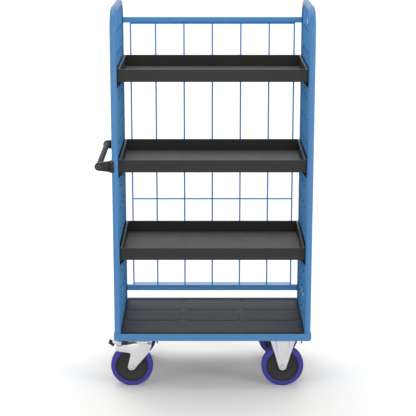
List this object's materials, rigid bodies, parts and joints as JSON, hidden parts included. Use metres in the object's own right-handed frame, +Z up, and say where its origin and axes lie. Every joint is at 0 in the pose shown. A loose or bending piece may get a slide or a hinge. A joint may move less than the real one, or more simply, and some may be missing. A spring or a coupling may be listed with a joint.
{
  "type": "shelf trolley",
  "caption": "Tall wheeled shelf trolley: tubular end frames with perforated panels, wire back, lift-out tray shelves, moulded deck, push handle and braked swivel casters.",
  "frame": {"origin": "on the floor under the middle of the whole trolley's box", "axes": "+X along the deck away from the push handle, -Y towards the open front, +Z up"},
  "size_m": [1, 0.545, 1.8],
  "materials": {
    "blue_paint": "semi-gloss powder coat",
    "black_paint": "satin powder coat",
    "deck_plastic": "fine moulded grain",
    "handle_plastic": "moulded grain",
    "rim_plastic": "satin moulding",
    "tyre_rubber": "smooth elastic rubber",
    "zinc_plate": "bright zinc plating on pressed steel"
  },
  "bodies": {
    "frame": {"front_rail": "blue_paint", "rear_rail": "blue_paint", "left_rail": "blue_paint", "right_rail": "blue_paint", "front_left_corner_plate": "blue_paint", "front_right_corner_plate": "blue_paint", "rear_left_corner_plate": "blue_paint", "rear_right_corner_plate": "blue_paint", "deck_panel": "deck_plastic", "left_arch": "blue_paint", "right_arch": "blue_paint", "left_end_panel": "blue_paint", "right_end_panel": "blue_paint", "upper_back_tube": "blue_paint", "lower_back_tube": "blue_paint", "back_mesh": "blue_paint", "lower_left_bracket": "black_paint", "lower_right_bracket": "black_paint", "middle_left_bracket": "black_paint", "middle_right_bracket": "black_paint", "upper_left_bracket": "black_paint", "upper_right_bracket": "black_paint", "handle_grip": "handle_plastic", "front_handle_arm": "handle_plastic", "rear_handle_arm": "handle_plastic", "front_handle_clamp": "handle_plastic", "rear_handle_clamp": "handle_plastic", "front_fixed_bracket": "zinc_plate", "front_fixed_axle": "zinc_plate", "rear_fixed_bracket": "zinc_plate", "rear_fixed_axle": "zinc_plate", "front_swivel_plate": "zinc_plate", "front_swivel_race": "zinc_plate", "front_swivel_kingpin": "zinc_plate", "rear_swivel_plate": "zinc_plate", "rear_swivel_race": "zinc_plate", "rear_swivel_kingpin": "zinc_plate"},
    "lower_tray_body": {"lower_tray": "black_paint"},
    "middle_tray_body": {"middle_tray": "black_paint"},
    "upper_tray_body": {"upper_tray": "black_paint"},
    "front_fixed_wheel": {"front_fixed_rim": "rim_plastic", "front_fixed_tyre": "tyre_rubber"},
    "rear_fixed_wheel": {"rear_fixed_rim": "rim_plastic", "rear_fixed_tyre": "tyre_rubber"},
    "front_swivel_head": {"front_swivel_fork": "zinc_plate", "front_swivel_axle": "zinc_plate"},
    "rear_swivel_head": {"rear_swivel_fork": "zinc_plate", "rear_swivel_axle": "zinc_plate"},
    "front_swivel_wheel": {"front_swivel_rim": "rim_plastic", "front_swivel_tyre": "tyre_rubber"},
    "rear_swivel_wheel": {"rear_swivel_rim": "rim_plastic", "rear_swivel_tyre": "tyre_rubber"},
    "front_brake": {"front_swivel_brake_arm": "zinc_plate", "front_swivel_brake_pin": "zinc_plate", "front_swivel_brake_pedal": "rim_plastic"},
    "rear_brake": {"rear_swivel_brake_arm": "zinc_plate", "rear_swivel_brake_pin": "zinc_plate", "rear_swivel_brake_pedal": "rim_plastic"}
  },
  "joints": [
    {"name": "lower_tray_lift", "type": "slide", "parent": "frame", "child": "lower_tray_body", "axis": [0, 0, 1], "range_m": [0, 0.12]},
    {"name": "middle_tray_lift", "type": "slide", "parent": "frame", "child": "middle_tray_body", "axis": [0, 0, 1], "range_m": [0, 0.12]},
    {"name": "upper_tray_lift", "type": "slide", "parent": "frame", "child": "upper_tray_body", "axis": [0, 0, 1], "range_m": [0, 0.12]},
    {"name": "front_fixed_wheel_spin", "type": "hinge", "parent": "frame", "child": "front_fixed_wheel", "pos_m": [0.3705, -0.1975, 0.1], "axis": [0, 1, 0], "continuous": true},
    {"name": "rear_fixed_wheel_spin", "type": "hinge", "parent": "frame", "child": "rear_fixed_wheel", "pos_m": [0.3705, 0.1975, 0.1], "axis": [0, 1, 0], "continuous": true},
    {"name": "front_swivel_turn", "type": "hinge", "parent": "frame", "child": "front_swivel_head", "pos_m": [-0.2955, -0.1975, 0.225], "axis": [0, 0, 1], "continuous": true},
    {"name": "rear_swivel_turn", "type": "hinge", "parent": "frame", "child": "rear_swivel_head", "pos_m": [-0.2955, 0.1975, 0.225], "axis": [0, 0, 1], "continuous": true},
    {"name": "front_swivel_wheel_spin", "type": "hinge", "parent": "front_swivel_head", "child": "front_swivel_wheel", "pos_m": [-0.3455, -0.1975, 0.1], "axis": [0, 1, 0], "continuous": true},
    {"name": "rear_swivel_wheel_spin", "type": "hinge", "parent": "rear_swivel_head", "child": "rear_swivel_wheel", "pos_m": [-0.3455, 0.1975, 0.1], "axis": [0, 1, 0], "continuous": true},
    {"name": "front_brake_press", "type": "hinge", "parent": "front_swivel_head", "child": "front_brake", "pos_m": [-0.3755, -0.1975, 0.213], "axis": [0, -1, 0], "range_deg": [0, 8]},
    {"name": "rear_brake_press", "type": "hinge", "parent": "rear_swivel_head", "child": "rear_brake", "pos_m": [-0.3755, 0.1975, 0.213], "axis": [0, -1, 0], "range_deg": [0, 8]}
  ]
}
